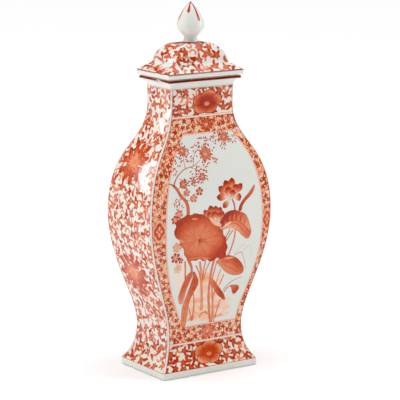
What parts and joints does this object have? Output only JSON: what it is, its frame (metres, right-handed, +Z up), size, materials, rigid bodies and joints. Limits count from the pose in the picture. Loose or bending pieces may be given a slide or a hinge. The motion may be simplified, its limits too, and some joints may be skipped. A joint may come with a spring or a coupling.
{
  "type": "lidded baluster jar",
  "caption": "Tall porcelain jar of rectangular baluster form on a foot ring, with a coved collar and a lift-off hipped lid with a bud knob, painted with lotus panels in iron red.",
  "frame": {"origin": "centre of the foot's underside", "axes": "+Z up; the broad front wall faces -Y and the narrow side walls face -X and +X"},
  "size_m": [0.1652, 0.091, 0.42],
  "materials": {
    "porcelain": "glossy clear glaze over greyish white porcelain",
    "painted_porcelain": "glossy clear glaze over white porcelain, painted in iron red enamel",
    "bare_porcelain": "unglazed matt biscuit porcelain"
  },
  "bodies": {
    "jar": {"foot_ring": "porcelain", "floor_slab": "porcelain", "wall_front": "painted_porcelain", "wall_right": "painted_porcelain", "wall_back": "painted_porcelain", "wall_left": "painted_porcelain", "collar": "porcelain"},
    "lid": {"lid_canopy": "painted_porcelain", "lid_flange": "bare_porcelain", "lid_knob": "porcelain"}
  },
  "joints": [
    {"name": "lid_lift", "type": "slide", "parent": "jar", "child": "lid", "axis": [0, 0, 1], "range_m": [0, 0.12]}
  ]
}
